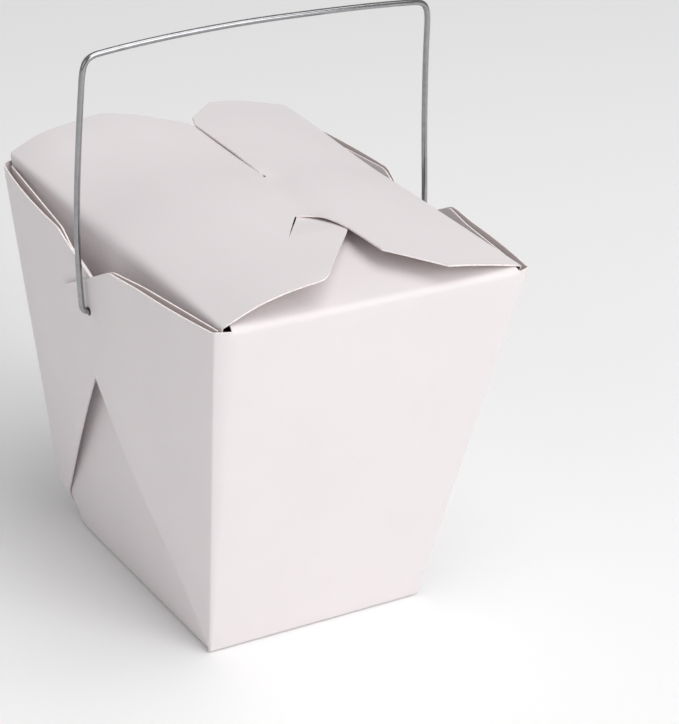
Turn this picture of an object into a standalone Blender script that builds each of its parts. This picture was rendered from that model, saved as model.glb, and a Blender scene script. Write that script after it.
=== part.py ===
"""Noodle takeaway box: a shut paperboard pail with a wire bail.

One sheet of paperboard makes the whole carton, so it is one solid: the
tapered body, the folded corner gussets on the two wire walls, the two closing
flaps (a slotted one and a tabbed one) and the tuck flaps under them. The
wire bail is the second piece and swings in the carton's two pin holes.

Frame: origin at the middle of the base, +Z up. The wire walls face +X and
-X, the plain walls face -Y (front) and +Y (back). Lengths below are in
millimetres and become metres where vertices are made.
"""

import math

import bmesh
import bpy

MM = 0.001

# ---- driving sizes -------------------------------------------------------
BASE_X, BASE_Y = 70.0, 89.0        # footprint
TOP_X, TOP_Y = 95.0, 125.0         # across the top folds
HEIGHT = 110.0                     # base to top folds
CORNER_R = 2.2                     # soft vertical edges
FOLD_R = 2.4                       # soft top fold of the plain walls

BOARD = 0.5                        # paperboard
WALL_BULGE = 0.4                   # wire wall, between its folds
GUSSET_EDGE = 1.6                  # stand-off of a gusset at its vertical crease
GUSSET_BULGE = 6.0                 # and how much more it has at mid depth
INNER_BULGE = 7.7                  # stand-off of the inner ply at mid depth
CREASE_OUT = 2.2                   # top of the vertical creases, past the walls
CREASE_REACH = 6.5                 # soft bend of a plain wall before its crease
GUSSET_FULL = 85.0                 # height where that stand-off is reached
GUSSET_CORNER_Y = 16.0             # top corner of a gusset, from mid depth
GUSSET_CORNER_Z = 108.6
GUSSET_TIP_Y = 15.0                # tip, past mid depth on the other side
GUSSET_TIP_Z = 91.9
GUSSET_LAP = 0.9                   # front gusset lies over the back one

FLAP_RISE = 8.8                    # both closing flaps dome up
TUCK_SLOPE, TUCK_EASE = 0.17, 0.0008
TUCK_END = 36.0                    # depth of a tuck flap

PIVOT_Z = 89.7                     # pin holes
HOLE_D, HOLE_DEPTH = 2.7, 11.0
PIN_REACH = 8.0                    # wire end inside the wall

WIRE_D = 1.7
PIVOT_HALF = 54.7                  # wire centre where it turns in
BOW_HALF = 57.3                    # legs bow outwards; the bail leans to -X
LEFT_BOW_Z, LEFT_SHOULDER, LEFT_BAR = 130.0, (56.9, 157.0), (52.6, 163.7)
RIGHT_BOW_Z, RIGHT_KNEE = 100.0, (54.4, 129.3)
RIGHT_SHOULDER, RIGHT_BAR = (52.25, 158.0), (47.3, 165.5)
BAR_MID_Z = 166.7
WIRE_SIDES = 12


# ---- helpers ---------------------------------------------------------------
def clear_scene():
    for obj in list(bpy.data.objects):
        bpy.data.objects.remove(obj, do_unlink=True)


def smooth(x):
    x = min(1.0, max(0.0, x))
    return x * x * (3.0 - 2.0 * x)


def material(name, colour, roughness, metallic):
    made = bpy.data.materials.new(name)
    made.use_nodes = True
    shader = made.node_tree.nodes["Principled BSDF"]
    shader.inputs["Base Color"].default_value = (*colour, 1.0)
    shader.inputs["Roughness"].default_value = roughness
    shader.inputs["Metallic"].default_value = metallic
    return made


def add_object(name, mesh, finish):
    obj = bpy.data.objects.new(name, mesh)
    obj.data.materials.append(finish)
    bpy.context.scene.collection.objects.link(obj)
    return obj


def tool_object(name, mesh, finish):
    obj = add_object(name, mesh, finish)
    obj.hide_render = True
    obj.display_type = "WIRE"
    return obj


def flat_cells(outline, u_lines, v_lines):
    """The outline as a flat polygon, cut into cells along the given lines."""
    cells = bmesh.new()
    cells.faces.new([cells.verts.new((u, v, 0.0)) for u, v in outline])
    for axis, lines in ((0, u_lines), (1, v_lines)):
        for line in lines:
            point = [0.0, 0.0, 0.0]
            normal = [0.0, 0.0, 0.0]
            point[axis], normal[axis] = line, 1.0
            bmesh.ops.bisect_plane(
                cells,
                geom=cells.verts[:] + cells.edges[:] + cells.faces[:],
                dist=1e-4,
                plane_co=point,
                plane_no=normal,
            )
    bmesh.ops.triangulate(cells, faces=[f for f in cells.faces if len(f.verts) > 4])
    return cells


def slab(name, outline, u_lines, v_lines, outer, inner, between=()):
    """A closed solid between two surfaces over one outline. `between` gives
    extra rows of points for its sides, from the outer surface inwards."""
    cells = flat_cells(outline, u_lines, v_lines)
    solid = bmesh.new()
    rows = [outer, *between, inner]
    made = {}

    def corner(vert, row):
        key = (vert.index, row)
        if key not in made:
            x, y, z = rows[row](vert.co.x, vert.co.y)
            made[key] = solid.verts.new((x * MM, y * MM, z * MM))
        return made[key]

    cells.verts.index_update()
    last = len(rows) - 1
    for face in cells.faces:
        loop = list(face.verts)
        solid.faces.new([corner(v, 0) for v in loop])
        solid.faces.new([corner(v, last) for v in reversed(loop)])
    for edge in cells.edges:
        if len(edge.link_faces) != 1:
            continue
        a, b = edge.verts
        for row in range(last):
            solid.faces.new(
                [corner(a, row), corner(b, row), corner(b, row + 1), corner(a, row + 1)]
            )
    bmesh.ops.recalc_face_normals(solid, faces=solid.faces[:])
    mesh = bpy.data.meshes.new(name)
    solid.to_mesh(mesh)
    solid.free()
    cells.free()
    return mesh


def steps(low, high, count):
    return [low + (high - low) * i / count for i in range(1, count)]


def rounded(outline, radii, pieces=4):
    """The outline with chosen corners replaced by arcs through them."""
    out = []
    total = len(outline)
    for i, (x, y) in enumerate(outline):
        r = radii.get(i, 0.0)
        if not r:
            out.append((x, y))
            continue
        before, after = outline[i - 1], outline[(i + 1) % total]
        ends = []
        for ox, oy in (before, after):
            length = math.hypot(ox - x, oy - y)
            ends.append((x + (ox - x) * r / length, y + (oy - y) * r / length))
        (ax, ay), (bx, by) = ends
        for k in range(pieces + 1):
            t = k / pieces
            out.append(
                (
                    (1 - t) ** 2 * ax + 2 * t * (1 - t) * x + t * t * bx,
                    (1 - t) ** 2 * ay + 2 * t * (1 - t) * y + t * t * by,
                )
            )
    return out


# ---- shapes of the carton -----------------------------------------------
def half_x(z):
    return (BASE_X + (TOP_X - BASE_X) * z / HEIGHT) / 2


def half_y(z):
    return (BASE_Y + (TOP_Y - BASE_Y) * z / HEIGHT) / 2


def wall_bulge(y, z):
    across = 1 - min(1.0, (y / half_y(z)) ** 2)
    return WALL_BULGE * across * smooth(z / 80) * (1 - smooth((z - 88) / 22))


def pinned(y, z):
    """The wire's pin draws the gussets in around its hole."""
    return 1.1 * math.exp(-((y / 9) ** 2)) * smooth((z - 70) / 25)


def gusset_out(y, z):
    """Outer face of the outer ply, as a half width. It leaves the wall just
    past the soft vertical edge."""
    t = 1 - min(1.0, abs(y) / half_y(z))
    bulge = GUSSET_BULGE * smooth(z / GUSSET_FULL)
    start = 0.6 * (1 - smooth((half_y(z) - abs(y) - 1.5) / 5))
    stand = GUSSET_EDGE * z / HEIGHT + bulge * (1 - (1 - t) ** 2.4)
    return half_x(z) + stand - start - pinned(y, z)


def gusset_in(y, z):
    """Inner face of the inner ply."""
    t = 1 - min(1.0, abs(y) / half_y(z))
    bulge = INNER_BULGE * smooth(z / GUSSET_FULL)
    return half_x(z) - 1.4 + bulge * t - pinned(y, z)


def flap_a_rise(x):
    """Height of the slotted flap over the top folds."""
    u = max(0.0, x + TOP_X / 2)
    rise = FLAP_RISE * (1 - (1 - min(u, 38.0) / 38.0) ** 2.1)
    return rise - 0.0045 * max(0.0, u - 38.0) ** 2


def flap_b_rise(x):
    """Height of the tabbed flap."""
    v = max(0.0, TOP_X / 2 - x)
    return 0.2 + 0.262 * v - 0.00165 * v * v


def tuck_rise(y):
    w = max(0.0, TOP_Y / 2 - abs(y))
    return TUCK_SLOPE * w - TUCK_EASE * w * w


def core_top(x, y):
    """Top of the filled carton: the tuck flaps in front and behind. Near the
    wire walls it keeps under the closing flaps."""
    return min(tuck_rise(y), 0.6 * flap_a_rise(x), 0.6 * flap_b_rise(x))


def flap_under(sheet, x, y, sunk):
    """Underside of a closing flap: open over the front and back thirds, and
    resting on the filling between the tuck flaps."""
    w = TOP_Y / 2 - abs(y)
    rests = smooth((w - TUCK_END) / 5) * smooth((TOP_X / 2 - 3 - abs(x)) / 4)
    return sheet - rests * (sheet + sunk)


def make_core(finish):
    outline = rounded(
        [(-1, -1), (1, -1), (1, 1), (-1, 1)],
        {i: 2 * CORNER_R / TOP_X * 1.2 for i in range(4)},
        4,
    )

    def at(z):
        def point(u, v):
            inset = 0.0
            if z > HEIGHT - FOLD_R:
                inset = FOLD_R - math.sqrt(
                    max(0.0, FOLD_R**2 - (z - HEIGHT + FOLD_R) ** 2)
                )
            y = v * (half_y(z) - inset)
            x = u * (half_x(z) + wall_bulge(y, z))
            grown = z / HEIGHT
            edge = smooth((abs(y) - half_y(z) + 9) / 6) * abs(u) ** 8
            x += math.copysign(CREASE_OUT * grown * edge, u)
            past = abs(x) - (half_x(z) + (CREASE_OUT - CREASE_REACH) * grown)
            if past > 0 and abs(v) > 0.9:
                y -= math.copysign(1.9 * grown * min(1.0, past / CREASE_REACH) ** 2, v)
            return x, y, z

        return point

    def top(u, v):
        x = u * TOP_X / 2
        y = v * (TOP_Y / 2 - FOLD_R)
        return x, y, HEIGHT + core_top(x, y)

    levels = [HEIGHT - 0.25 * FOLD_R, HEIGHT - 0.6 * FOLD_R, HEIGHT - FOLD_R]
    levels += [HEIGHT - FOLD_R - (HEIGHT - FOLD_R) * k / 12 for k in range(1, 12)]
    mesh = slab(
        "carton",
        outline,
        steps(-1, 1, 16),
        steps(-1, 1, 22),
        top,
        at(0.0),
        [at(z) for z in levels],
    )
    return add_object("carton", mesh, finish)


def gusset_outline(side_y):
    """In (y, z): base corner, top corner, gusset corner, tip. side_y is -1
    for the front gussets and +1 for the back ones."""
    corner = (BASE_Y / 2 - CORNER_R, 0.35)
    top = (TOP_Y / 2 - CORNER_R - 0.3, HEIGHT - 0.8)
    tip = GUSSET_TIP_Y + (0.4 if side_y > 0 else 0.0)
    points = [
        corner,
        (-tip, GUSSET_TIP_Z),
        (GUSSET_CORNER_Y, GUSSET_CORNER_Z),
        top,
    ]
    points = rounded(points, {1: 1.5, 2: 1.2}, 3)
    return [(side_y * y, z) for y, z in points]


def make_gusset(name, side_x, side_y, finish):
    def lap(y):
        if side_y > 0:
            return 0.0
        return GUSSET_LAP * smooth((y + 26) / 18)

    def outer(y, z):
        return side_x * (gusset_out(y, z) + lap(y)), y, z

    def inner(y, z):
        return side_x * (gusset_in(y, z) + 0.5 * lap(y)), y, z

    columns = [side_y * y for y in (57, 51, 45, 38, 31, 24, 17.5, 11, 6.5, 2.3, -2.9, -7.7, -12)]
    mesh = slab(name, gusset_outline(side_y), columns, steps(0, 110, 11), outer, inner)
    return tool_object(name, mesh, finish)


FLAP_ROWS = [s * y for y in (52.0, 39.0, 26.5, 24.7, 22.9, 21.1, 10.0, 3.0) for s in (-1, 1)]
FLAP_A_FRONT = [(-17.5, -62.0), (7.0, -34.5)]
FLAP_B_FRONT = [(20.8, -62.2), (7.4, -50.2)]


def make_flap_a(finish):
    outline = [
        (-TOP_X / 2 + 0.1, -TOP_Y / 2 + 2.4),
        *FLAP_A_FRONT,
        (11.0, -26.0),
        (11.0, 38.0),
        (3.2, 48.8),
        (-17.2, 62.0),
        (-TOP_X / 2 + 0.1, TOP_Y / 2 - 0.8),
    ]
    outline = rounded(outline, {1: 2.0}, 3)

    def outer(x, y):
        return x, y, HEIGHT + flap_a_rise(x) + BOARD / 2

    def inner(x, y):
        return x, y, HEIGHT + flap_under(flap_a_rise(x) - BOARD / 2, x, y, 5.0)

    mesh = slab("flap_a", outline, steps(-47.5, 11, 14), FLAP_ROWS, outer, inner)
    return tool_object("flap_a", mesh, finish)


def tab_arc():
    """Hollow front side of the tab, from the flap's edge to the slot."""
    start, bend, end = (6.8, -34.7), (5.4, -24.6), (-1.6, -22.0)
    points = []
    for k in range(1, 6):
        t = k / 6
        points.append(
            tuple(
                (1 - t) ** 2 * a + 2 * t * (1 - t) * b + t * t * c
                for a, b, c in zip(start, bend, end)
            )
        )
    return [start, *points, end]


def make_flap_b(finish):
    arc = tab_arc()
    outline = [
        (TOP_X / 2 - 0.1, -TOP_Y / 2 + 2.2),
        *FLAP_B_FRONT,
        *arc,
        (4.7, 6.5),
        (5.4, 45.7),
        (7.9, 51.5),
        (19.6, 62.2),
        (TOP_X / 2 - 0.1, TOP_Y / 2 - 0.8),
    ][::-1]

    def rise(x, y):
        lift = flap_b_rise(x) + 2.0 * smooth((y - 8) / 54) * smooth((x - 5) / 14) * smooth(
            (TOP_X / 2 - x) / 18
        )
        dip = 1.0 - smooth((x + 3) / 9)
        inside = smooth((y + 24) / 3) * (1 - smooth((y - 5) / 3))
        return lift - 0.9 * dip * inside

    def outer(x, y):
        return x, y, HEIGHT + rise(x, y) + BOARD / 2

    def inner(x, y):
        return x, y, HEIGHT + flap_under(rise(x, y) - BOARD / 2, x, y, 6.5)

    mesh = slab("flap_b", outline, steps(-3, 47.5, 13), FLAP_ROWS, outer, inner)
    return tool_object("flap_b", mesh, finish)


def make_hole(name, side_x, finish):
    """Pin hole cutter, a round bar along X."""
    form = bmesh.new()
    bmesh.ops.create_cone(
        form,
        cap_ends=True,
        segments=24,
        radius1=HOLE_D / 2 * MM,
        radius2=HOLE_D / 2 * MM,
        depth=(HOLE_DEPTH + 6) * MM,
    )
    mesh = bpy.data.meshes.new(name)
    form.to_mesh(mesh)
    form.free()
    obj = tool_object(name, mesh, finish)
    outside = gusset_out(0, PIVOT_Z) + GUSSET_LAP
    middle = outside + 6 - (HOLE_DEPTH + 6) / 2
    obj.rotation_euler = (0.0, math.pi / 2, 0.0)
    obj.location = (side_x * middle * MM, 0.0, PIVOT_Z * MM)
    return obj


def make_carton(finish):
    carton = make_core(finish)
    joined = [make_flap_a(finish), make_flap_b(finish)]
    for side_x, wall in ((-1, "left"), (1, "right")):
        for side_y, end in ((1, "back"), (-1, "front")):
            joined.append(make_gusset(f"gusset_{wall}_{end}", side_x, side_y, finish))
    for tool in joined:
        change = carton.modifiers.new(tool.name, "BOOLEAN")
        change.operation = "UNION"
        change.solver = "MANIFOLD"
        change.object = tool
    for side_x, wall in ((-1, "left"), (1, "right")):
        tool = make_hole(f"hole_{wall}", side_x, finish)
        change = carton.modifiers.new(tool.name, "BOOLEAN")
        change.operation = "DIFFERENCE"
        change.solver = "MANIFOLD"
        change.object = tool
    carton.data.shade_smooth()
    carton.data.set_sharp_from_angle(angle=math.radians(22))
    return carton


# ---- the wire bail ------------------------------------------------------
def bezier(a, b, c, d, count):
    out = []
    for k in range(1, count + 1):
        t = k / count
        w = ((1 - t) ** 3, 3 * t * (1 - t) ** 2, 3 * t * t * (1 - t), t**3)
        out.append(
            (
                sum(wi * p[0] for wi, p in zip(w, (a, b, c, d))),
                sum(wi * p[1] for wi, p in zip(w, (a, b, c, d))),
            )
        )
    return out


def hook():
    """One leg's foot in (half width, z): the pin in its hole, then the turn."""
    pin = (PIVOT_HALF - PIN_REACH, PIVOT_Z)
    turn = (PIVOT_HALF - 2.2, PIVOT_Z)
    leg = (PIVOT_HALF + 0.15, PIVOT_Z + 2.4)
    points = [pin, turn]
    points += bezier(turn, (PIVOT_HALF - 0.9, PIVOT_Z), (PIVOT_HALF, PIVOT_Z + 1.0), leg, 4)
    return points


def left_half():
    leg, bow = (PIVOT_HALF + 0.15, PIVOT_Z + 2.4), (BOW_HALF, LEFT_BOW_Z)
    points = hook()
    points += bezier(leg, (PIVOT_HALF + 1.2, 100), (BOW_HALF, 113), bow, 6)
    points += bezier(bow, (BOW_HALF, 141), (LEFT_SHOULDER[0] + 0.2, 150), LEFT_SHOULDER, 4)
    points += bezier(LEFT_SHOULDER, (56.7, 161.6), (55.9, 163.1), LEFT_BAR, 6)
    points += bezier(LEFT_BAR, (38, 165.6), (16, BAR_MID_Z), (0, BAR_MID_Z), 8)
    return points


def right_half():
    leg, bow = (PIVOT_HALF + 0.15, PIVOT_Z + 2.4), (BOW_HALF, RIGHT_BOW_Z)
    points = hook()
    points += bezier(leg, (PIVOT_HALF + 1.2, 95), (BOW_HALF, 96), bow, 4)
    points += bezier(bow, (BOW_HALF, 105), (55.6, 117), RIGHT_KNEE, 5)
    points += bezier(RIGHT_KNEE, (53.4, 140), (52.6, 150), RIGHT_SHOULDER, 4)
    points += bezier(RIGHT_SHOULDER, (52.0, 163.4), (51.0, 165.1), RIGHT_BAR, 6)
    points += bezier(RIGHT_BAR, (34, 166.4), (16, BAR_MID_Z), (0, BAR_MID_Z), 8)
    return points


def make_handle(finish):
    path = [(-x, z) for x, z in left_half()] + right_half()[-2::-1]
    curve = bpy.data.curves.new("handle", "CURVE")
    curve.dimensions = "3D"
    curve.bevel_depth = WIRE_D / 2 * MM
    curve.bevel_resolution = WIRE_SIDES // 4 - 1
    curve.use_fill_caps = True
    line = curve.splines.new("POLY")
    line.points.add(len(path) - 1)
    for point, (x, z) in zip(line.points, path):
        point.co = (x * MM, 0.0, (z - PIVOT_Z) * MM, 1.0)
    handle = bpy.data.objects.new("handle", curve)
    handle.data.materials.append(finish)
    bpy.context.scene.collection.objects.link(handle)
    handle.location = (0.0, 0.0, PIVOT_Z * MM)
    return handle


def main():
    clear_scene()
    board = material("white_paperboard", (0.76, 0.73, 0.74), 0.6, 0.0)
    wire = material("bright_wire", (0.6, 0.6, 0.61), 0.2, 1.0)
    make_carton(board)
    make_handle(wire)


main()
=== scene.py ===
"""Looks of the noodle takeaway box: one folded sheet of white paperboard and a
bright wire bail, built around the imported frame.

The board is modelled as real sheet: every visible panel is a thin ply with a
raw cut edge, folded where the real carton is folded. Lengths are in
millimetres until vertices are made.
"""

import math

import bmesh
import bpy
from mathutils import Matrix, Vector


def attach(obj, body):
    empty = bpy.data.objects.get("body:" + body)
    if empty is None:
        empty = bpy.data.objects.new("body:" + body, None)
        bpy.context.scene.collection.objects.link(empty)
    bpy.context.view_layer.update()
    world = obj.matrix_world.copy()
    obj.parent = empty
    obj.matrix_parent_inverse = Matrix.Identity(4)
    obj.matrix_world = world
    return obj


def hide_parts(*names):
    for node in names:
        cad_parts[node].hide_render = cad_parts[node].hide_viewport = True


MM = 0.001

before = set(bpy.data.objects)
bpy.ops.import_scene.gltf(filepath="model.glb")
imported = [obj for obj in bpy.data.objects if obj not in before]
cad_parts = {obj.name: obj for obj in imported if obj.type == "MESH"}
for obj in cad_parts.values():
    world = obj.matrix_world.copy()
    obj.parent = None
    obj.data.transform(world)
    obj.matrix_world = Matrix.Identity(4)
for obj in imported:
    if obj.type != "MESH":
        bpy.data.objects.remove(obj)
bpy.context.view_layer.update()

# ---- driving sizes, as in the construction --------------------------------
BASE_X, BASE_Y = 70.0, 89.0
TOP_X, TOP_Y = 95.0, 125.0
HEIGHT = 110.0
BOARD = 0.45
WALL_BULGE = 1.0
FLAP_RISE = 8.8
TUCK_SLOPE, TUCK_EASE = 0.17, 0.0008
FOLD_D = 2.2                       # half length of the plain walls' top fold

LINE_SLOPE = 0.63                  # gusset fold line: y = -44.5 + 0.63 z
TIP_Y = 13.5
CORNER_Y, CORNER_Z = 16.0, 108.6

PIVOT_Z = 89.7
HOLE_D = 2.7
WIRE_D = 1.7
PIN_REACH = 8.0

BLUNT = 3.6                        # one base corner is pressed in

CELL = 2.4


def smooth(x):
    x = min(1.0, max(0.0, x))
    return x * x * (3.0 - 2.0 * x)


def mix(a, b, t):
    return a + (b - a) * t


def half_x(z):
    return (BASE_X + (TOP_X - BASE_X) * z / HEIGHT) / 2


def half_y(z):
    return (BASE_Y + (TOP_Y - BASE_Y) * z / HEIGHT) / 2


def lines(low, high, step):
    count = max(1, math.ceil((high - low) / step))
    return [low + (high - low) * i / count for i in range(1, count)]


# ---- sheet builder -----------------------------------------------------------
def flat_cells(outline, u_lines, v_lines, slants=(), slit=()):
    """A flat polygon cut into cells. Slants are further cutting lines, given
    by two points each. The slit is a run of points along which it is parted."""
    form = bmesh.new()
    form.faces.new([form.verts.new((u, v, 0.0)) for u, v in outline])

    def cut(point, normal):
        bmesh.ops.bisect_plane(
            form,
            geom=form.verts[:] + form.edges[:] + form.faces[:],
            dist=1e-4,
            plane_co=(point[0], point[1], 0.0),
            plane_no=(normal[0], normal[1], 0.0),
        )

    for u in u_lines:
        cut((u, 0.0), (1.0, 0.0))
    for v in v_lines:
        cut((0.0, v), (0.0, 1.0))
    for (au, av), (bu, bv) in slants:
        cut((au, av), (bv - av, au - bu))
    if slit:
        parted = []
        for edge in form.edges:
            for (au, av), (bu, bv) in zip(slit, slit[1:]):
                length = math.hypot(bu - au, bv - av)
                on = True
                for vert in edge.verts:
                    pu, pv = vert.co.x - au, vert.co.y - av
                    along = (pu * (bu - au) + pv * (bv - av)) / length
                    off = abs(pu * (bv - av) - pv * (bu - au)) / length
                    on = on and off < 2e-3 and -2e-3 < along < length + 2e-3
                if on:
                    parted.append(edge)
                    break
        bmesh.ops.split_edges(form, edges=parted)
    bmesh.ops.triangulate(form, faces=[f for f in form.faces if len(f.verts) > 4])
    return form


def sheet(name, form, place, shape, turn, thick=BOARD):
    """A closed board ply over flat cells. `place` gives the outside face,
    `shape` the same without any step at a slit, for the face's direction.
    `turn` is 1 or -1, so that the direction points out of the carton.
    Faces get material 0 outside, 1 on cut edges, 2 inside."""
    solid = bmesh.new()
    h = 0.06

    def point(u, v):
        return Vector(shape(u, v))

    outer, inner = {}, {}
    for vert in form.verts:
        u, v = vert.co.x, vert.co.y
        faces = vert.link_faces
        centre = sum((f.calc_center_median() for f in faces), Vector()) / max(1, len(faces))
        nudged = vert.co + (centre - vert.co) * 0.02
        spot = Vector(place(u, v, nudged.x, nudged.y))
        du = point(u + h, v) - point(u - h, v)
        dv = point(u, v + h) - point(u, v - h)
        out = du.cross(dv).normalized() * turn
        spot.z = max(spot.z, 0.0)
        under = spot - out * thick
        under.z = max(under.z, 0.0)
        outer[vert] = solid.verts.new(spot * MM)
        inner[vert] = solid.verts.new(under * MM)
    for face in form.faces:
        loop = list(face.verts)
        if turn < 0:
            loop.reverse()
        made = solid.faces.new([outer[v] for v in loop])
        made.material_index = 0
        made = solid.faces.new([inner[v] for v in reversed(loop)])
        made.material_index = 2
        for a, b in zip(loop, loop[1:] + loop[:1]):
            edge = form.edges.get((a, b))
            if edge is not None and len(edge.link_faces) == 1:
                made = solid.faces.new([outer[b], outer[a], inner[a], inner[b]])
                made.material_index = 1
    form.free()
    mesh = bpy.data.meshes.new(name)
    solid.to_mesh(mesh)
    solid.free()
    return mesh


def rounded(outline, radii, pieces=4):
    out = []
    total = len(outline)
    for i, (x, y) in enumerate(outline):
        r = radii.get(i, 0.0)
        if not r:
            out.append((x, y))
            continue
        ends = []
        for ox, oy in (outline[i - 1], outline[(i + 1) % total]):
            length = math.hypot(ox - x, oy - y)
            ends.append((x + (ox - x) * r / length, y + (oy - y) * r / length))
        (ax, ay), (bx, by) = ends
        for k in range(pieces + 1):
            t = k / pieces
            out.append(
                (
                    (1 - t) ** 2 * ax + 2 * t * (1 - t) * x + t * t * bx,
                    (1 - t) ** 2 * ay + 2 * t * (1 - t) * y + t * t * by,
                )
            )
    return out


# ---- plain walls with their tuck flaps and gussets ---------------------------
# Domain: a runs from mid wall to the side, v runs up. Flat to FLAT, then a
# long soft bend, a tight crease, and the gusset.
FLAT = 43.3
BEND, CREASE = 7.0, 2.0
TURN_1, TURN_2 = 0.56, 1.36
CREASE_R = 0.9
FOLD_R = 0.48                      # gusset fold, outside face


def bend_length(k):
    return 0.6 + 6.0 * k


def corner_end(k):
    """How far the soft vertical edge reaches, along and into the wall."""
    length = bend_length(k)
    along = length * math.sin(TURN_1) / TURN_1
    along += CREASE_R * (math.sin(TURN_2) - math.sin(TURN_1))
    deep = length * (1 - math.cos(TURN_1)) / TURN_1
    deep += CREASE_R * (math.cos(TURN_1) - math.cos(TURN_2))
    return along, deep


def gusset_growth(z):
    return min(1.0, max(0.0, z) / 78.0) ** 0.6


def pinned(y, z):
    return 1.1 * math.exp(-((y / 9) ** 2)) * smooth((z - 70) / 25)


def gusset_out(y, z):
    t = 1 - min(1.0, abs(y) / half_y(z))
    stand = 1.6 * z / HEIGHT + 6.0 * gusset_growth(z) * (1 - (1 - t) ** 2.4)
    return half_x(z) + stand - pinned(y, z)


def gusset_inner(y, z, from_fold):
    """Outward face of the inner ply."""
    t = 1 - min(1.0, abs(y) / half_y(z))
    outer = gusset_out(y, z)
    natural = half_x(z) - 0.2 + 8.45 * t * gusset_growth(z) - pinned(y, z)
    natural = min(natural, outer - BOARD - 0.05)
    return mix(outer - 2 * FOLD_R + BOARD, natural, smooth(from_fold / 16))


def tuck_rise(w):
    w = max(0.0, w)
    return TUCK_SLOPE * w - TUCK_EASE * w * w


def top_fold(v):
    """(half depth, height) of a plain wall above its fold's start."""
    start = HEIGHT - FOLD_D
    if v <= start:
        return half_y(v), v
    if v < start + 2 * FOLD_D:
        t = (v - start) / (2 * FOLD_D)
        p0 = (half_y(start), start)
        p1 = (half_y(HEIGHT), HEIGHT)
        p2 = (half_y(HEIGHT) - FOLD_D, HEIGHT + tuck_rise(FOLD_D))
        return tuple(
            (1 - t) ** 2 * a + 2 * t * (1 - t) * b + t * t * c for a, b, c in zip(p0, p1, p2)
        )
    w = FOLD_D + v - start - 2 * FOLD_D
    return half_y(HEIGHT) - w, HEIGHT + tuck_rise(w)


def under_flaps(x, y):
    """The highest a tuck flap may lie below the two closing flaps."""
    cover = mix(flap_a_height(x, y), flap_b_height(x, y), smooth((x + 2) / 10))
    return cover - 0.75 - 1.1 * smooth((40 - abs(y)) / 5)


def crown_pull(x, y, z, inset):
    """How far a point near a base corner is drawn in, each way."""
    near = math.exp(-(((x - half_x(z)) ** 2 + (abs(y) - half_y(z)) ** 2) / 49))
    return inset * near * (1 - smooth(z / 12)) ** 1.5


def plain_wall(side_y, over, blunt):
    """The surface of a plain wall. `over` lifts its gussets over the other
    wall's. `blunt` gives how far each base corner is rounded in."""

    def lap(y):
        return over * smooth((y + 30) / 15)

    def surface(a, v):
        side = -1.0 if a < 0 else 1.0
        m = abs(a)
        z = min(v, HEIGHT)
        k = z / HEIGHT
        hy = half_y(z)
        along, deep = corner_end(k)
        edge_x = gusset_out(-(hy - deep), z)
        start_x = edge_x - along
        if m <= FLAT + BEND + CREASE:
            length = bend_length(k)
            if m <= FLAT:
                x, inward = m / FLAT * start_x, 0.0
                across = 1 - (m / FLAT) ** 2
                inward -= 0.7 * across * smooth(z / 40) * smooth((HEIGHT - z) / 30)
            elif m <= FLAT + BEND:
                angle = TURN_1 * (m - FLAT) / BEND
                x = start_x + length * math.sin(angle) / TURN_1
                inward = length * (1 - math.cos(angle)) / TURN_1
            else:
                angle = TURN_1 + (TURN_2 - TURN_1) * (m - FLAT - BEND) / CREASE
                x = start_x + length * math.sin(TURN_1) / TURN_1
                x += CREASE_R * (math.sin(angle) - math.sin(TURN_1))
                inward = length * (1 - math.cos(TURN_1)) / TURN_1
                inward += CREASE_R * (math.cos(TURN_1) - math.cos(angle))
            y, height = hy - inward, z
            folded_y, folded_z = top_fold(v)
            fold = 1 - smooth((m - FLAT - 1.2) / 2.4)
            if v > HEIGHT:
                fold = 1.0
            y += (folded_y - hy) * fold
            height += (folded_z - z) * fold
            y = -y
            if v > HEIGHT + FOLD_D:
                height = min(height, under_flaps(side * x, y * -side_y))
        else:
            y = -hy + deep + (m - FLAT - BEND - CREASE)
            height = z
            scale = math.hypot(1.0, LINE_SLOPE)
            ny, nz = 1.0 / scale, -LINE_SLOPE / scale
            f = (y + BASE_Y / 2) * ny + height * nz
            quarter = FOLD_R * math.pi / 2
            y0, z0 = y - f * ny, height - f * nz
            if f < -quarter:
                g = f + quarter - FOLD_R
                y, height = y0 + g * ny, z0 + g * nz
                x = gusset_out(y, height) + lap(y)
            elif f > quarter:
                g = -(f - quarter) - FOLD_R
                y, height = y0 + g * ny, z0 + g * nz
                x = gusset_inner(y, height, -g) - BOARD + lap(y)
            else:
                angle = f / FOLD_R
                g = FOLD_R * math.cos(angle) - FOLD_R
                y, height = y0 + g * ny, z0 + g * nz
                x = gusset_out(y, height) + lap(y) - FOLD_R * (1 + math.sin(angle))
        # the crown of the base corners is blunt, as the folded web is there
        inset = blunt[0 if side < 0 else 1]
        pull = crown_pull(x, y, height, inset)
        x -= pull
        y += pull if y < 0 else -pull
        # small round where the wall turns into the base
        if height < 1.2:
            turn = 0.5 * (1 - height / 1.2) ** 2
            y += turn if y < 0 else -turn
        return side * x, y * -side_y, height

    return surface


def domain_a(y, z):
    """Where (y, z) of a front gusset lies in the wall's domain."""
    return FLAT + BEND + CREASE + y + half_y(z) - corner_end(z / HEIGHT)[1]


def mirrored_in_fold(y, z):
    scale = math.hypot(1.0, LINE_SLOPE)
    ny, nz = 1.0 / scale, -LINE_SLOPE / scale
    f = (y + BASE_Y / 2) * ny + z * nz
    return y - 2 * f * ny, z - 2 * f * nz


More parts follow.
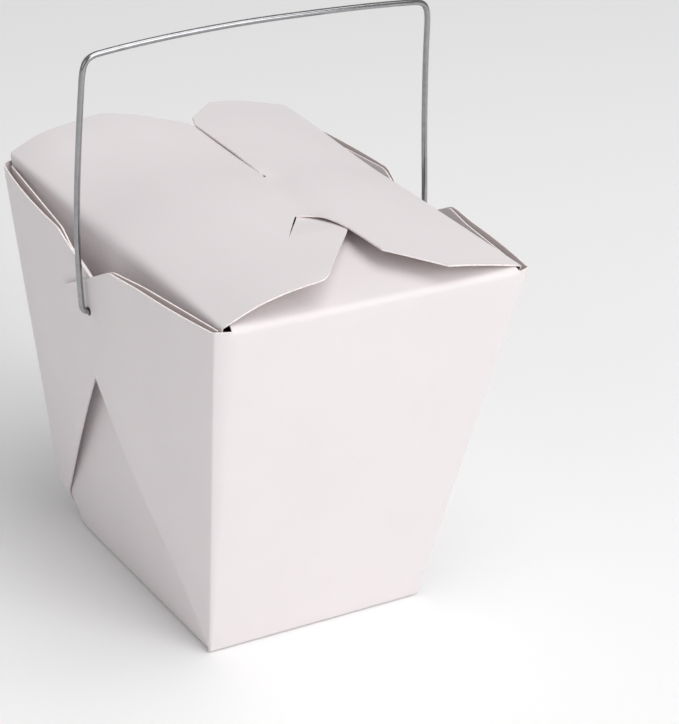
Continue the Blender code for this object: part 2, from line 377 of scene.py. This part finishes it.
def make_plain_wall(name, side_y, over, tip_y, blunt):
    tip = (tip_y, (tip_y + BASE_Y / 2) / LINE_SLOPE)
    corner = (-CORNER_Y, CORNER_Z)
    top = (-59.2, 109.3)
    foot = (-BASE_Y / 2 + corner_end(0)[1], 0.0)
    run = [foot]
    base = mirrored_in_fold(*foot)
    run = [base if base[0] > foot[0] else foot]
    ply = [tip, corner, top]
    back = [mirrored_in_fold(*top), mirrored_in_fold(*corner)]
    half = [(domain_a(*run[0]), run[0][1])]
    half += [(domain_a(y, z), z) for y, z in back]
    half += [(domain_a(y, z), z) for y, z in ply]
    half = rounded([(0.0, 50.0), *half], {3: 1.6, 4: 1.6, 5: 1.6}, 4)[1:]
    half[0] = (FLAT + BEND + CREASE, 0.0)
    half += [
        (FLAT + BEND, 109.5),
        (FLAT + 3.2, 109.6),
        (FLAT + 2.2, 109.9),
        (FLAT + 1.6, HEIGHT + FOLD_D + 0.4),
        (FLAT - 1.2, HEIGHT + 12.0),
        (FLAT - 13.5, HEIGHT + 44.0),
    ]
    half = rounded(half, {len(half) - 1: 4.0, len(half) - 2: 2.0}, 4)
    outline = half + [(-a, v) for a, v in reversed(half)]
    a_lines = lines(0, FLAT, 3.2) + [FLAT]
    a_lines += [FLAT + BEND * i / 7 for i in range(1, 8)]
    a_lines += [FLAT + BEND + CREASE * i / 6 for i in range(1, 7)]
    a_lines += lines(FLAT + BEND + CREASE, 180, CELL)
    a_lines += [-a for a in a_lines] + [0.0]
    fold = [HEIGHT - FOLD_D + 2 * FOLD_D * i / 8 for i in range(0, 9)]
    v_lines = [0.3, 0.6, 0.9, 1.2]
    v_lines += [1.2 + d for d in lines(0, HEIGHT - FOLD_D - 1.2, 2.6)]
    v_lines += fold + lines(HEIGHT + FOLD_D, HEIGHT + 46, 3.0)
    slants = []
    for side in (-1, 1):
        for i in range(-4, 5):
            shift = FOLD_R * math.pi / 2 * i / 4 * math.hypot(1.0, LINE_SLOPE)
            low = (side * domain_a(-BASE_Y / 2 + shift, 0.0), 0.0)
            high_z = 100.0
            high = (
                side * domain_a(-BASE_Y / 2 + LINE_SLOPE * high_z + shift, high_z),
                high_z,
            )
            slants.append((low, high))
    form = flat_cells(outline, a_lines, v_lines, slants)
    surface = plain_wall(side_y, over, blunt)
    return sheet(
        name,
        form,
        lambda a, v, na, nv: surface(a, v),
        surface,
        1 if side_y < 0 else -1,
    )


# ---- wire walls with the closing flaps ---------------------------------------
WALL_IN = 0.5                      # a wire wall lies inside its gussets
FLAP_START = TOP_X / 2 - 0.4
SLIT = [(-13.0, -36.0), (-1.8, -22.0), (4.7, 6.5), (6.5, 15.0)]


def wall_bulge(y, z):
    across = 1 - min(1.0, (y / half_y(z)) ** 2)
    return WALL_BULGE * across * smooth(z / 80) * (1 - smooth((z - 88) / 22))


def wall_half(z, inset=1.2):
    """Half width of a wire wall between its vertical folds."""
    return half_y(z) - 0.8 - inset * z / HEIGHT


def lift_a(y):
    """How far the slotted wall's fold stands up at the back."""
    return 1.9 * smooth((y - 15) / 47)


def lift_b(y):
    return 2.6 * smooth((y - 5) / 57) + 1.3 * max(0.0, 1 - (y / 58) ** 2)


def flap_a_height(x, y):
    u = max(0.0, x + TOP_X / 2)
    rise = FLAP_RISE * (1 - (1 - min(u, 38.0) / 38.0) ** 2.1)
    rise -= 0.0045 * max(0.0, u - 38.0) ** 2
    edge = 0.7 * smooth((abs(y) - 35) / 27) * smooth(u / 12) * (1 - smooth((x + 10) / 14))
    rise += lift_a(y) * (1 - 0.7 * smooth((u - 5) / 20))
    under = 0.6 * smooth((x - 6) / 3) * smooth((y - 15) / 8)
    return HEIGHT + rise + edge - under


def flap_b_height(x, y):
    v = max(0.0, TOP_X / 2 - x)
    rise = 0.2 + 0.262 * v - 0.00165 * v * v
    rise += lift_b(y) * (1 - 0.8 * smooth((v - 14) / 26))
    return HEIGHT + rise


def slit_x(y):
    for (ax, ay), (bx, by) in zip(SLIT, SLIT[1:]):
        if y <= by:
            return ax + (bx - ax) * (y - ay) / (by - ay)
    return SLIT[-1][0]


def below_slit(x, y):
    """How far the slotted flap is pressed down, past the slit."""
    if not SLIT[0][1] < y < SLIT[3][1] or x < slit_x(y):
        return 0.0
    if y < SLIT[1][1]:
        return 1.0 * smooth((y - SLIT[0][1]) / (SLIT[1][1] - SLIT[0][1]))
    if y < SLIT[2][1]:
        return 1.0
    return 1.0 - smooth((y - SLIT[2][1]) / (SLIT[3][1] - SLIT[2][1]))


def tabbed_height(x, y):
    """The tabbed flap, brought under the slit's lip between its ends."""
    free = flap_b_height(x, y)
    level = mix(-BOARD - 0.03, BOARD + 0.05, smooth((y - 3.0) / 9))
    if y < -30:
        return free
    held = flap_a_height(x, y) + level - 0.02 * max(0.0, slit_x(y) - x)
    reach = x - slit_x(min(y, SLIT[3][1]))
    hold = (1 - smooth(reach / 12)) * (1 - smooth((y - 10) / 14)) * smooth((y + 30) / 6)
    return mix(free, held, hold)


def closing_flap(side_x, height_at):
    lift_of = lift_a if side_x < 0 else lift_b

    def raised(z, y):
        return z + lift_of(y) * smooth((z - 85) / 25)

    def shape(v, y):
        depth = 0.6 + 2.3 * max(0.0, 1 - (abs(y) / 59.0) ** 2)
        bottom = HEIGHT - depth

        def on_wall(z):
            return half_x(z) - WALL_IN + wall_bulge(y, z)

        if v <= bottom:
            x, z = on_wall(max(v, 0.0)), raised(v, y)
            if v < 1.2:
                x -= 0.5 * (1 - v / 1.2) ** 2
            if side_x < 0 and y > 0:
                pull = crown_pull(x, y, z, BLUNT)
                x, y = x - pull, y - pull
        elif v < HEIGHT + depth:
            t = (v - bottom) / (2 * depth)
            far = FLAP_START - depth
            p0 = (on_wall(bottom), raised(bottom, y))
            p1 = (FLAP_START + 0.1, HEIGHT + 0.12 + lift_of(y))
            p2 = (far, height_at(side_x * far, y))
            x, z = (
                (1 - t) ** 2 * a + 2 * t * (1 - t) * b + t * t * c
                for a, b, c in zip(p0, p1, p2)
            )
        else:
            x = FLAP_START - (v - HEIGHT)
            z = height_at(side_x * x, y)
        return side_x * x, y, z

    return shape


def make_wire_wall(name, side_x, flap, height_at, slit=(), step=None, radii=None):
    """flap is the flap's outline in (x, y), front to back."""
    shape = closing_flap(side_x, height_at)
    high = HEIGHT - 3.0
    flap_part = [(HEIGHT + FLAP_START - side_x * x, y) for x, y in flap]
    if radii:
        flap_part = rounded([(HEIGHT, -50.0), *flap_part, (HEIGHT, 50.0)], radii, 4)[1:-1]
    outline = [(0.0, -wall_half(0)), (high, -wall_half(high, 1.6))]
    outline += [(HEIGHT + 0.2, -wall_half(HEIGHT, 1.6))]
    outline += flap_part
    outline += [(HEIGHT + 0.2, wall_half(HEIGHT, 0.9))]
    outline += [(high, wall_half(high, 0.9)), (0.0, wall_half(0))]
    v_lines = [0.3, 0.6, 0.9, 1.2]
    v_lines += [1.2 + d for d in lines(0, HEIGHT - 4.2, CELL)]
    v_lines += [HEIGHT - 3 + 6 * i / 12 for i in range(0, 13)]
    v_lines += lines(HEIGHT + 3, HEIGHT + 62, CELL)
    y_lines = lines(-64, 64, CELL)
    slants, parted = [], []
    if slit:
        parted = [(HEIGHT + FLAP_START - side_x * x, y) for x, y in slit]
        y_lines = [y for y in y_lines if all(abs(y - s[1]) > 0.3 for s in slit)]
        y_lines += [y for _, y in slit]
        slants = list(zip(parted, parted[1:]))
    form = flat_cells(outline, v_lines, y_lines, slants, parted)

    def place(v, y, near_v, near_y):
        x, yy, z = shape(v, y)
        if step and v > HEIGHT + 5:
            drop, along = step(side_x * (FLAP_START - (near_v - HEIGHT)), near_y)
            z -= drop
            x += along
        return x, yy, z

    return sheet(name, form, place, shape, 1 if side_x < 0 else -1)


def slit_step(x, y):
    """Drop beyond the slit, and the slight opening of its front part."""
    drop = below_slit(x, y)
    ahead = smooth((y - SLIT[0][1]) / 6) * (1 - smooth((y - SLIT[1][1] + 1.0) / 3))
    gap = 0.0
    if abs(x - slit_x(y)) < 0.6 and SLIT[0][1] < y < SLIT[2][1]:
        gap = 0.22 * ahead * (1 if x > slit_x(y) else -1)
    return drop, gap


def tab_arc():
    start, bend, end = (6.8, -34.7), (5.4, -24.6), (-1.8, -22.0)
    out = []
    for k in range(0, 13):
        t = k / 12
        out.append(
            tuple(
                (1 - t) ** 2 * a + 2 * t * (1 - t) * b + t * t * c
                for a, b, c in zip(start, bend, end)
            )
        )
    return out


FLAP_A = [
    (-46.4, -60.2),
    (-30.0, -61.2),
    (-17.5, -62.0),
    (7.0, -34.5),
    (11.0, -26.0),
    (11.0, 38.0),
    (3.2, 48.8),
    (-17.2, 62.0),
    (-30.0, 61.6),
    (-46.6, 61.3),
]


def slit_eye():
    """The round end of the slot, a small notch in the tabbed flap's edge."""
    cx, cy, r = 5.0, 6.3, 0.8
    return [
        (cx + r * math.cos(math.radians(d)), cy + r * math.sin(math.radians(d)))
        for d in (-140, -90, -45, 0, 45, 90, 130)
    ]


FLAP_B = [
    (46.6, -60.2),
    (20.8, -62.2),
    (7.4, -50.2),
    *tab_arc(),
    (-6.0, -19.5),
    (-2.5, 3.0),
    (3.4, 5.2),
    *slit_eye(),
    (4.8, 8.2),
    (5.4, 45.7),
    (7.9, 51.5),
    (19.6, 62.2),
    (46.7, 61.5),
]


# ---- base ------------------------------------------------------------------------
def make_base():
    form = flat_cells(
        rounded(
            [
                (-BASE_X / 2 + 0.9, -BASE_Y / 2 + 0.8),
                (BASE_X / 2 - 0.9, -BASE_Y / 2 + 0.8),
                (BASE_X / 2 - 0.9, BASE_Y / 2 - 0.8),
                (-BASE_X / 2 + 0.9, BASE_Y / 2 - 0.8),
            ],
            {0: 1.5, 1: 1.5, 2: 1.5, 3: 16.0},
            5,
        ),
        lines(-35, 35, 7),
        lines(-45, 45, 7),
    )

    def surface(x, y):
        lift = 0.35 * (1 - (2 * x / BASE_X) ** 2) * (1 - (2 * y / BASE_Y) ** 2)
        return x, y, 0.47 + max(0.0, lift)

    return sheet("base", form, lambda x, y, a, b: surface(x, y), surface, 1)


# ---- wire bail -------------------------------------------------------------------
def bezier(a, b, c, d, count):
    out = []
    for k in range(1, count + 1):
        t = k / count
        w = ((1 - t) ** 3, 3 * t * (1 - t) ** 2, 3 * t * t * (1 - t), t**3)
        out.append(tuple(sum(wi * p[i] for wi, p in zip(w, (a, b, c, d))) for i in (0, 1)))
    return out


PIVOT_HALF = 54.7
BOW_HALF = 57.3                    # legs bow outwards; the bail leans to -X
LEFT_BOW_Z, LEFT_SHOULDER, LEFT_BAR = 130.0, (56.9, 157.0), (52.6, 163.7)
RIGHT_BOW_Z, RIGHT_KNEE = 100.0, (54.4, 129.3)
RIGHT_SHOULDER, RIGHT_BAR = (52.25, 158.0), (47.3, 165.5)
BAR_MID_Z = 166.7
HOOK_END = (PIVOT_HALF + 0.15, PIVOT_Z + 2.4)


def hook():
    """One leg's foot in (half width, z): the pin in its hole, then the turn."""
    turn = (PIVOT_HALF - 2.2, PIVOT_Z)
    points = [(PIVOT_HALF - PIN_REACH, PIVOT_Z), (PIVOT_HALF - 5, PIVOT_Z), turn]
    points += bezier(turn, (PIVOT_HALF - 0.9, PIVOT_Z), (PIVOT_HALF, PIVOT_Z + 1.0), HOOK_END, 8)
    return points


def left_half():
    bow = (BOW_HALF, LEFT_BOW_Z)
    points = hook()
    points += bezier(HOOK_END, (PIVOT_HALF + 1.2, 100), (BOW_HALF, 113), bow, 14)
    points += bezier(bow, (BOW_HALF, 141), (LEFT_SHOULDER[0] + 0.2, 150), LEFT_SHOULDER, 10)
    points += bezier(LEFT_SHOULDER, (56.7, 161.6), (55.9, 163.1), LEFT_BAR, 14)
    points += bezier(LEFT_BAR, (38, 165.6), (16, BAR_MID_Z), (0, BAR_MID_Z), 20)
    return points


def right_half():
    bow = (BOW_HALF, RIGHT_BOW_Z)
    points = hook()
    points += bezier(HOOK_END, (PIVOT_HALF + 1.2, 95), (BOW_HALF, 96), bow, 8)
    points += bezier(bow, (BOW_HALF, 105), (55.6, 117), RIGHT_KNEE, 12)
    points += bezier(RIGHT_KNEE, (53.4, 140), (52.6, 150), RIGHT_SHOULDER, 10)
    points += bezier(RIGHT_SHOULDER, (52.0, 163.4), (51.0, 165.1), RIGHT_BAR, 14)
    points += bezier(RIGHT_BAR, (34, 166.4), (16, BAR_MID_Z), (0, BAR_MID_Z), 20)
    return points


def make_wire():
    """Round wire swept along its path, with domed ends."""
    path = [(-x, z) for x, z in left_half()] + right_half()[-2::-1]
    sides = 20
    form = bmesh.new()
    rings = []
    count = len(path)
    for i, (x, z) in enumerate(path):
        ax, az = path[max(0, i - 1)]
        bx, bz = path[min(count - 1, i + 1)]
        length = math.hypot(bx - ax, bz - az)
        tx, tz = (bx - ax) / length, (bz - az) / length
        ring = []
        for s in range(sides):
            angle = 2 * math.pi * s / sides
            r = WIRE_D / 2
            across, depth = r * math.cos(angle), r * math.sin(angle)
            ring.append(form.verts.new(((x - tz * across) * MM, depth * MM, (z + tx * across) * MM)))
        rings.append(ring)
    for a, b in zip(rings, rings[1:]):
        for s in range(sides):
            t = (s + 1) % sides
            form.faces.new([a[s], a[t], b[t], b[s]])
    for ring, sign in ((rings[0], 1), (rings[-1], -1)):
        x, z = path[0] if sign > 0 else path[-1]
        # the pins point to the middle, so a dome is a smaller ring further in
        small = []
        for s in range(sides):
            angle = 2 * math.pi * s / sides
            r = WIRE_D / 2 * 0.62
            across, depth = r * math.cos(angle), r * math.sin(angle)
            nx = x + sign * 0.35
            index = ring[s].co
            small.append(
                form.verts.new(
                    (nx * MM, index.y * 0.62, PIVOT_Z * MM + (index.z - PIVOT_Z * MM) * 0.62)
                )
            )
        for s in range(sides):
            t = (s + 1) % sides
            form.faces.new([ring[t], ring[s], small[s], small[t]])
        form.faces.new(small if sign < 0 else small[::-1])
    bmesh.ops.recalc_face_normals(form, faces=form.faces[:])
    mesh = bpy.data.meshes.new("bail_wire")
    form.to_mesh(mesh)
    form.free()
    return mesh


# ---- materials ---------------------------------------------------------------------
def nodes_of(material):
    material.use_nodes = True
    tree = material.node_tree
    return tree, tree.nodes["Principled BSDF"], tree.nodes.new, tree.links.new


def board_material(name, colour, rough, tint, grain=0.012):
    """Smooth paperboard: faint cloudy colour, fine fibre relief, soft sheen."""
    material = bpy.data.materials.new(name)
    tree, shader, new, link = nodes_of(material)
    where = new("ShaderNodeTexCoord")
    cloud = new("ShaderNodeTexNoise")
    cloud.inputs["Scale"].default_value = 45.0
    cloud.inputs["Detail"].default_value = 3.0
    link(where.outputs["Object"], cloud.inputs["Vector"])
    ramp = new("ShaderNodeValToRGB")
    ramp.color_ramp.elements[0].position = 0.35
    ramp.color_ramp.elements[1].position = 0.65
    ramp.color_ramp.elements[0].color = (*[c * (1 - tint) for c in colour], 1)
    ramp.color_ramp.elements[1].color = (*[min(1, c * (1 + tint)) for c in colour], 1)
    link(cloud.outputs["Fac"], ramp.inputs["Fac"])
    # fibre flecks, longer one way than the other
    stretch = new("ShaderNodeMapping")
    stretch.inputs["Scale"].default_value = (1.0, 0.45, 0.7)
    link(where.outputs["Object"], stretch.inputs["Vector"])
    fibre = new("ShaderNodeTexNoise")
    fibre.inputs["Scale"].default_value = 2400.0
    fibre.inputs["Detail"].default_value = 4.0
    link(stretch.outputs["Vector"], fibre.inputs["Vector"])
    mottle = new("ShaderNodeTexNoise")
    mottle.inputs["Scale"].default_value = 420.0
    mottle.inputs["Detail"].default_value = 3.0
    link(where.outputs["Object"], mottle.inputs["Vector"])
    fleck = new("ShaderNodeMix")
    fleck.data_type = "RGBA"
    fleck.blend_type = "MULTIPLY"
    fleck.inputs["Factor"].default_value = 0.05
    link(ramp.outputs["Color"], fleck.inputs[6])
    link(fibre.outputs["Color"], fleck.inputs[7])
    link(fleck.outputs[2], shader.inputs["Base Color"])
    gloss = new("ShaderNodeMapRange")
    gloss.inputs["To Min"].default_value = rough - 0.06
    gloss.inputs["To Max"].default_value = rough + 0.06
    link(mottle.outputs["Fac"], gloss.inputs["Value"])
    link(gloss.outputs["Result"], shader.inputs["Roughness"])
    small = new("ShaderNodeBump")
    small.inputs["Strength"].default_value = 0.25
    small.inputs["Distance"].default_value = grain * MM
    link(fibre.outputs["Fac"], small.inputs["Height"])
    wide = new("ShaderNodeBump")
    wide.inputs["Strength"].default_value = 0.3
    wide.inputs["Distance"].default_value = 0.02 * MM
    link(mottle.outputs["Fac"], wide.inputs["Height"])
    link(small.outputs["Normal"], wide.inputs["Normal"])
    link(wide.outputs["Normal"], shader.inputs["Normal"])
    shader.inputs["Specular IOR Level"].default_value = 0.35
    return material


def edge_highlight_material():
    """Raw cut edge of the board: layered fibre, coloured lighter than the face, partly its own tone
    and partly a painted highlight where edges catch the light.
    """
    material = bpy.data.materials.new("board_cut_edge")
    tree, shader, new, link = nodes_of(material)
    where = new("ShaderNodeTexCoord")
    ply = new("ShaderNodeTexNoise")
    ply.inputs["Scale"].default_value = 900.0
    ply.inputs["Detail"].default_value = 5.0
    link(where.outputs["Object"], ply.inputs["Vector"])
    ramp = new("ShaderNodeValToRGB")
    ramp.color_ramp.elements[0].position = 0.3
    ramp.color_ramp.elements[1].position = 0.6
    # lighter than the board's face: the fibre's own tone plus a painted highlight on the cut edges
    ramp.color_ramp.elements[0].color = (0.84, 0.74, 0.72, 1)
    ramp.color_ramp.elements[1].color = (0.97, 0.91, 0.90, 1)
    link(ply.outputs["Fac"], ramp.inputs["Fac"])
    link(ramp.outputs["Color"], shader.inputs["Base Color"])
    shader.inputs["Roughness"].default_value = 0.85
    bump = new("ShaderNodeBump")
    bump.inputs["Strength"].default_value = 0.4
    bump.inputs["Distance"].default_value = 0.03 * MM
    link(ply.outputs["Fac"], bump.inputs["Height"])
    link(bump.outputs["Normal"], shader.inputs["Normal"])
    return material


def wire_material():
    """Bright drawn wire: faint lines along it, a little dullness, and a base colour kept dark as a
    painted reflection of dark surroundings.
    """
    material = bpy.data.materials.new("bright_wire")
    tree, shader, new, link = nodes_of(material)
    where = new("ShaderNodeTexCoord")
    draw = new("ShaderNodeTexNoise")
    draw.inputs["Scale"].default_value = 700.0
    draw.inputs["Detail"].default_value = 3.0
    link(where.outputs["Object"], draw.inputs["Vector"])
    ramp = new("ShaderNodeValToRGB")
    # dark base colour: a painted reflection of dark surroundings; the spread between the two ends is
    # the wire's own tone
    ramp.color_ramp.elements[0].color = (0.26, 0.26, 0.27, 1)
    ramp.color_ramp.elements[1].color = (0.42, 0.42, 0.43, 1)
    link(draw.outputs["Fac"], ramp.inputs["Fac"])
    link(ramp.outputs["Color"], shader.inputs["Base Color"])
    gloss = new("ShaderNodeMapRange")
    gloss.inputs["To Min"].default_value = 0.06
    gloss.inputs["To Max"].default_value = 0.14
    link(draw.outputs["Fac"], gloss.inputs["Value"])
    link(gloss.outputs["Result"], shader.inputs["Roughness"])
    shader.inputs["Metallic"].default_value = 1.0
    bump = new("ShaderNodeBump")
    bump.inputs["Strength"].default_value = 0.15
    bump.inputs["Distance"].default_value = 0.01 * MM
    link(draw.outputs["Fac"], bump.inputs["Height"])
    link(bump.outputs["Normal"], shader.inputs["Normal"])
    return material


# ---- putting it together ----------------------------------------------------------
def linked(name, mesh):
    obj = bpy.data.objects.new(name, mesh)
    bpy.context.scene.collection.objects.link(obj)
    return obj


def hole_cutters():
    made = []
    for side in (-1, 1):
        form = bmesh.new()
        bmesh.ops.create_cone(
            form,
            cap_ends=True,
            segments=32,
            radius1=HOLE_D / 2 * MM,
            radius2=HOLE_D / 2 * MM,
            depth=22 * MM,
        )
        mesh = bpy.data.meshes.new("cutter")
        form.to_mesh(mesh)
        form.free()
        turn = Matrix.Rotation(math.pi / 2, 4, "Y")
        mesh.transform(Matrix.Translation((side * 52 * MM, 0, PIVOT_Z * MM)) @ turn)
        made.append(linked("cutter", mesh))
    return made


def with_holes(mesh, cutters):
    obj = linked("part", mesh)
    for cutter in cutters:
        change = obj.modifiers.new("hole", "BOOLEAN")
        change.operation = "DIFFERENCE"
        change.solver = "MANIFOLD"
        change.object = cutter
    bpy.context.view_layer.update()
    graph = bpy.context.evaluated_depsgraph_get()
    cut = bpy.data.meshes.new_from_object(obj.evaluated_get(graph))
    bpy.data.objects.remove(obj)
    return cut


def joined(name, meshes):
    form = bmesh.new()
    for mesh in meshes:
        form.from_mesh(mesh)
    bmesh.ops.triangulate(form, faces=[f for f in form.faces if len(f.verts) > 4])
    mesh = bpy.data.meshes.new(name)
    form.to_mesh(mesh)
    form.free()
    mesh.shade_smooth()
    mesh.set_sharp_from_angle(angle=math.radians(35))
    return linked(name, mesh)


BOARD_WHITE = (0.85, 0.80, 0.81)
# inside faces: a darker, warmer colour as a painted shade tint, so the shade under the flaps and in
# the folds comes out brown
BOARD_INSIDE_SHADE_TINT = (0.80, 0.73, 0.725)

cutters = hole_cutters()
board = board_material("white_paperboard", BOARD_WHITE, 0.52, 0.008)
inside = board_material("paperboard_inside_shade_tint", BOARD_INSIDE_SHADE_TINT, 0.7, 0.012, 0.02)
raw = edge_highlight_material()

parts = [
    with_holes(
        make_plain_wall("front", -1, 1.1, TIP_Y, (0.0, 0.0)), cutters
    ),
    with_holes(
        make_plain_wall("back", 1, 0.0, TIP_Y + 0.4, (BLUNT, 0.0)), cutters
    ),
    make_wire_wall(
        "left", -1, FLAP_A, flap_a_height, SLIT, slit_step, {3: 3.0, 4: 3.0, 8: 3.0}
    ),
    make_wire_wall("right", 1, FLAP_B, tabbed_height),
    make_base(),
]
carton = joined("paperboard_carton", parts)
for cutter in cutters:
    bpy.data.objects.remove(cutter)
for material in (board, raw, inside):
    carton.data.materials.append(material)

wire = linked("bail_wire", make_wire())
wire.data.shade_smooth()
wire.data.materials.append(wire_material())

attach(carton, "box")
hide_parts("carton")
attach(wire, "bail")
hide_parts("handle")

# ---- studio ---------------------------------------------------------------------------
scene = bpy.context.scene
scene.view_settings.view_transform = "Standard"


def make_floor():
    form = bmesh.new()
    reach, count = 3.0, 12
    grid = [[form.verts.new((-reach + 2 * reach * i / count, -reach + 2 * reach * j / count, -0.0002)) for j in range(count + 1)] for i in range(count + 1)]
    for i in range(count):
        for j in range(count):
            form.faces.new([grid[i][j], grid[i + 1][j], grid[i + 1][j + 1], grid[i][j + 1]])
    mesh = bpy.data.meshes.new("floor")
    form.to_mesh(mesh)
    form.free()
    floor = linked("floor", mesh)
    material = bpy.data.materials.new("pale_floor")
    material.use_nodes = True
    shader = material.node_tree.nodes["Principled BSDF"]
    shader.inputs["Base Color"].default_value = (0.97, 0.97, 0.97, 1)
    shader.inputs["Roughness"].default_value = 0.9
    shader.inputs["Specular IOR Level"].default_value = 0.1
    floor.data.materials.append(material)


def lamp(name, spot, aim, size, power):
    light = bpy.data.lights.new(name, "AREA")
    light.shape = "RECTANGLE"
    light.size, light.size_y = size
    light.energy = power
    light.color = (1, 1, 1)
    obj = linked(name, light)
    obj.location = spot
    way = Vector(aim) - Vector(spot)
    obj.rotation_euler = way.to_track_quat("-Z", "Y").to_euler()
    return obj


make_floor()
lamp("key", (0.40, -1.42, 0.85), (0, 0, 0.06), (1.1, 1.1), 11.6)
lamp("top", (0.25, -0.40, 1.6), (0, 0, 0.05), (1.5, 1.2), 12.4)
lamp("fill", (-1.5, -0.5, 0.7), (0, 0, 0.06), (1.0, 1.0), 2.3)

world = bpy.data.worlds.new("studio")
scene.world = world
world.use_nodes = True
world.node_tree.nodes["Background"].inputs["Color"].default_value = (1, 1, 1, 1)
world.node_tree.nodes["Background"].inputs["Strength"].default_value = 0.35

# ---- camera: three-quarter view from the front left, a little rolled ---------------
AZIMUTH, ELEVATION, ROLL = math.radians(-32.35), math.radians(26.11), math.radians(3.58)
DISTANCE, SHIFT_X, SHIFT_Y = 716.0, -1.4, 19.7
FOCAL, CENTRE_X, CENTRE_Y = 2470.0, 241.0, 334.0
WIDTH, HEIGHT_PX = 679.0, 724.0

back = Vector(
    (
        math.sin(AZIMUTH) * math.cos(ELEVATION),
        -math.cos(AZIMUTH) * math.cos(ELEVATION),
        math.sin(ELEVATION),
    )
)
level = Vector((0, 0, 1)).cross(back).normalized()
upright = back.cross(level)
right_axis = level * math.cos(ROLL) + upright * math.sin(ROLL)
up_axis = -level * math.sin(ROLL) + upright * math.cos(ROLL)
spot = back * DISTANCE + Vector((0, 0, 50)) + right_axis * SHIFT_X + up_axis * SHIFT_Y
camera_data = bpy.data.cameras.new("camera")
camera_data.sensor_fit = "AUTO"
camera_data.sensor_width = 36.0
camera_data.lens = FOCAL / HEIGHT_PX * 36.0
camera_data.shift_x = (WIDTH / 2 - CENTRE_X) / HEIGHT_PX
camera_data.shift_y = (CENTRE_Y - HEIGHT_PX / 2) / HEIGHT_PX
camera_data.clip_end = 20.0
camera = linked("camera", camera_data)
camera.matrix_world = Matrix.Translation(spot * MM) @ Matrix(
    (right_axis, up_axis, back)
).transposed().to_4x4()
scene.camera = camera

bpy.context.view_layer.update()
